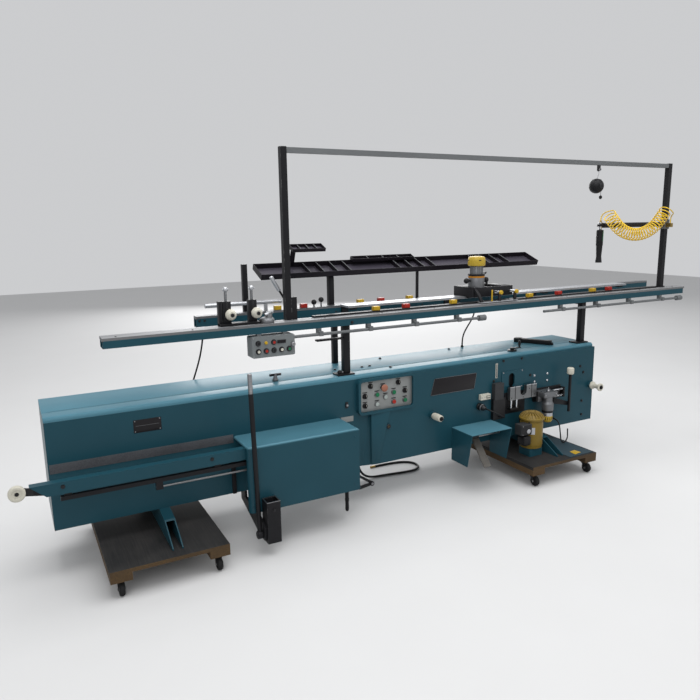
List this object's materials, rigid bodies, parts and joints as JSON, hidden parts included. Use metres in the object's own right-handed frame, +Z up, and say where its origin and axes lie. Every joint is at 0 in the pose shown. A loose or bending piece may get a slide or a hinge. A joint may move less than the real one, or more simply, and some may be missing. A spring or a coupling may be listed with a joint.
{
  "type": "door machining center",
  "caption": "Long door machining center: enclosed boring and latch stations under a hinge-router rail, with an overhead tool track and parts trays, on board dollies.",
  "frame": {"origin": "on the floor, under the centre of the machine's bounding box at rest", "axes": "+X along the machine to the operator's right, +Y from the operator's side to the back, +Z up"},
  "size_m": [4.3426, 0.77, 1.887],
  "materials": {
    "teal_paint": "worn semi-gloss teal machine enamel",
    "top_paint": "rubbed pale blue-grey sheet",
    "black_paint": "satin black enamel",
    "grey_paint": "satin light grey",
    "yellow_paint": "gloss yellow enamel",
    "dark_steel": "dark oiled steel",
    "steel": "dull zinc",
    "aluminium": "milled, slightly dull",
    "chrome": "polished chrome",
    "board": "raw worn boards",
    "black_rubber": "matt black rubber",
    "cream_plastic": "cream nylon",
    "yellow_plastic": "yellow painted block",
    "red_plastic": "glossy red",
    "green_plastic": "glossy green",
    "black_plastic": "matt black",
    "yellow_hose": "yellow nylon hose"
  },
  "bodies": {
    "machine": {"cabinet_shell": "teal_paint", "cabinet_top": "top_paint", "front_panel": "teal_paint", "control_plate": "grey_paint", "box_cover": "teal_paint", "lever_frame": "black_paint", "dollies": "board", "casters": "black_rubber", "station_posts": "black_paint", "front_rail": "teal_paint", "rear_rail": "teal_paint", "rail_tracks": "aluminium", "yellow_stops": "yellow_plastic", "red_stops": "red_plastic", "clamp_base": "black_paint", "overhead_posts": "black_paint", "overhead_bar": "steel", "parts_tray": "black_paint", "control_box": "grey_paint", "pedal_hood": "teal_paint", "boring_base": "dark_steel", "boring_motor": "yellow_paint", "air_tool": "black_plastic", "coil_hose": "yellow_hose", "held_leads": "black_rubber", "deck_cable": "black_rubber", "floor_hose": "black_rubber"},
    "extension": {"extension_rail": "teal_paint", "slide_bar": "dark_steel"},
    "end_roller": {"end_roller": "cream_plastic"},
    "tall_lever": {"tall_lever": "black_paint"},
    "door_roller": {"door_roller": "cream_plastic"},
    "end_spool": {"end_spool": "cream_plastic"},
    "top_crank": {"top_crank": "steel"},
    "pedal": {"pedal": "dark_steel"},
    "saddle": {"saddle": "aluminium"},
    "latch_router": {"latch_router": "aluminium"},
    "router_carriage": {"router_carriage": "aluminium"},
    "hinge_router": {"hinge_router": "aluminium"},
    "clamp_screw_left": {"clamp_screw_left": "chrome"},
    "clamp_screw_right": {"clamp_screw_right": "chrome"},
    "clamp_roller_left": {"clamp_roller_left": "cream_plastic"},
    "clamp_roller_right": {"clamp_roller_right": "cream_plastic"},
    "cam_lever": {"cam_lever": "black_paint"},
    "trolley": {"trolley": "steel"},
    "balancer": {"balancer": "black_paint"},
    "emergency_stop": {"emergency_stop": "red_plastic"},
    "green_button_1": {"green_button_1": "green_plastic"},
    "green_button_2": {"green_button_2": "green_plastic"},
    "green_button_3": {"green_button_3": "green_plastic"},
    "red_button": {"red_button": "red_plastic"},
    "selector_1": {"selector_1": "black_plastic"},
    "selector_2": {"selector_2": "black_plastic"},
    "selector_3": {"selector_3": "black_plastic"},
    "selector_4": {"selector_4": "black_plastic"},
    "selector_5": {"selector_5": "black_plastic"},
    "caster_fork_left": {"caster_fork_left": "dark_steel"},
    "caster_fork_right": {"caster_fork_right": "dark_steel"},
    "caster_wheel_left": {"caster_wheel_left": "black_rubber"},
    "caster_wheel_right": {"caster_wheel_right": "black_rubber"}
  },
  "joints": [
    {"name": "extension_slide", "type": "slide", "parent": "machine", "child": "extension", "axis": [1, 0, 0], "range_m": [0, 0.3]},
    {"name": "end_roller_spin", "type": "hinge", "parent": "extension", "child": "end_roller", "pos_m": [-2.13875, -0.248, 0.493], "axis": [0, 1, 0], "continuous": true},
    {"name": "tall_lever_swing", "type": "hinge", "parent": "machine", "child": "tall_lever", "pos_m": [-1.16475, -0.32, 0.1], "axis": [1, 0, 0], "range_deg": [0, 40]},
    {"name": "door_roller_spin", "type": "hinge", "parent": "machine", "child": "door_roller", "pos_m": [-0.04175, -0.104, 0.45], "axis": [0, 1, 0], "continuous": true},
    {"name": "end_spool_spin", "type": "hinge", "parent": "machine", "child": "end_spool", "pos_m": [1.21225, -0.104, 0.462], "axis": [0, 1, 0], "continuous": true},
    {"name": "top_crank_spin", "type": "hinge", "parent": "machine", "child": "top_crank", "pos_m": [0.61225, -0.02, 0.735], "axis": [0, 0, 1], "continuous": true},
    {"name": "pedal_press", "type": "hinge", "parent": "machine", "child": "pedal", "pos_m": [0.20025, -0.185, 0.302], "axis": [1, 0, 0], "range_deg": [0, 15], "stiffness_Nm_per_rad": 4, "springref_deg": -11.46},
    {"name": "saddle_feed", "type": "slide", "parent": "machine", "child": "saddle", "axis": [0, 0, 1], "range_m": [-0.05, 0.012]},
    {"name": "latch_router_feed", "type": "slide", "parent": "machine", "child": "latch_router", "axis": [1, 0, 0], "range_m": [-0.002, 0.108]},
    {"name": "carriage_slide", "type": "slide", "parent": "machine", "child": "router_carriage", "axis": [1, 0, 0], "range_m": [-0.792, 1.112]},
    {"name": "hinge_router_plunge", "type": "slide", "parent": "router_carriage", "child": "hinge_router", "axis": [0, 0, 1], "range_m": [-0.03, 0], "stiffness_N_per_m": 1500, "springref_m": 0.035},
    {"name": "clamp_screw_left_turn", "type": "hinge", "parent": "machine", "child": "clamp_screw_left", "pos_m": [-1.17375, -0.002, 1.163], "axis": [0, 0, 1], "continuous": true},
    {"name": "clamp_roller_left_spin", "type": "hinge", "parent": "machine", "child": "clamp_roller_left", "pos_m": [-1.16175, -0.019, 1.101], "axis": [0, 1, 0], "continuous": true},
    {"name": "clamp_screw_right_turn", "type": "hinge", "parent": "machine", "child": "clamp_screw_right", "pos_m": [-1.04375, -0.002, 1.163], "axis": [0, 0, 1], "continuous": true},
    {"name": "clamp_roller_right_spin", "type": "hinge", "parent": "machine", "child": "clamp_roller_right", "pos_m": [-1.03175, -0.019, 1.101], "axis": [0, 1, 0], "continuous": true},
    {"name": "cam_lever_swing", "type": "hinge", "parent": "machine", "child": "cam_lever", "pos_m": [-0.83375, 0.0373, 1.112], "axis": [0, 1, 0], "range_deg": [0, 70]},
    {"name": "trolley_slide", "type": "slide", "parent": "machine", "child": "trolley", "axis": [1, 0, 0], "range_m": [-2.05, 0.55]},
    {"name": "balancer_swing", "type": "hinge", "parent": "trolley", "child": "balancer", "pos_m": [1.31025, 0.0007, 1.832], "axis": [0, 1, 0], "range_deg": [-25, 25]},
    {"name": "emergency_stop_press", "type": "slide", "parent": "machine", "child": "emergency_stop", "axis": [0, 1, 0], "range_m": [0, 0.006]},
    {"name": "green_button_1_press", "type": "slide", "parent": "machine", "child": "green_button_1", "axis": [0, 1, 0], "range_m": [0, 0.004], "stiffness_N_per_m": 400, "springref_m": -0.001},
    {"name": "green_button_2_press", "type": "slide", "parent": "machine", "child": "green_button_2", "axis": [0, 1, 0], "range_m": [0, 0.004], "stiffness_N_per_m": 400, "springref_m": -0.001},
    {"name": "green_button_3_press", "type": "slide", "parent": "machine", "child": "green_button_3", "axis": [0, 1, 0], "range_m": [0, 0.004], "stiffness_N_per_m": 400, "springref_m": -0.001},
    {"name": "red_button_press", "type": "slide", "parent": "machine", "child": "red_button", "axis": [0, 1, 0], "range_m": [0, 0.004], "stiffness_N_per_m": 400, "springref_m": -0.001},
    {"name": "selector_1_turn", "type": "hinge", "parent": "machine", "child": "selector_1", "pos_m": [-0.43675, -0.093, 0.668], "axis": [0, 1, 0], "range_deg": [-45, 45]},
    {"name": "selector_2_turn", "type": "hinge", "parent": "machine", "child": "selector_2", "pos_m": [-0.26275, -0.093, 0.668], "axis": [0, 1, 0], "range_deg": [-45, 45]},
    {"name": "selector_3_turn", "type": "hinge", "parent": "machine", "child": "selector_3", "pos_m": [-0.21975, -0.093, 0.617], "axis": [0, 1, 0], "range_deg": [-45, 45]},
    {"name": "selector_4_turn", "type": "hinge", "parent": "machine", "child": "selector_4", "pos_m": [-0.47075, -0.093, 0.617], "axis": [0, 1, 0], "range_deg": [-45, 45]},
    {"name": "selector_5_turn", "type": "hinge", "parent": "machine", "child": "selector_5", "pos_m": [-0.47075, -0.093, 0.564], "axis": [0, 1, 0], "range_deg": [-45, 45]},
    {"name": "caster_swivel_left", "type": "hinge", "parent": "machine", "child": "caster_fork_left", "pos_m": [0.51625, -0.327, 0.0697], "axis": [0, 0, 1], "continuous": true},
    {"name": "caster_roll_left", "type": "hinge", "parent": "caster_fork_left", "child": "caster_wheel_left", "pos_m": [0.51625, -0.355, 0.03], "axis": [1, 0, 0], "continuous": true},
    {"name": "caster_swivel_right", "type": "hinge", "parent": "machine", "child": "caster_fork_right", "pos_m": [0.93625, -0.327, 0.0697], "axis": [0, 0, 1], "continuous": true},
    {"name": "caster_roll_right", "type": "hinge", "parent": "caster_fork_right", "child": "caster_wheel_right", "pos_m": [0.93625, -0.355, 0.03], "axis": [1, 0, 0], "continuous": true}
  ]
}
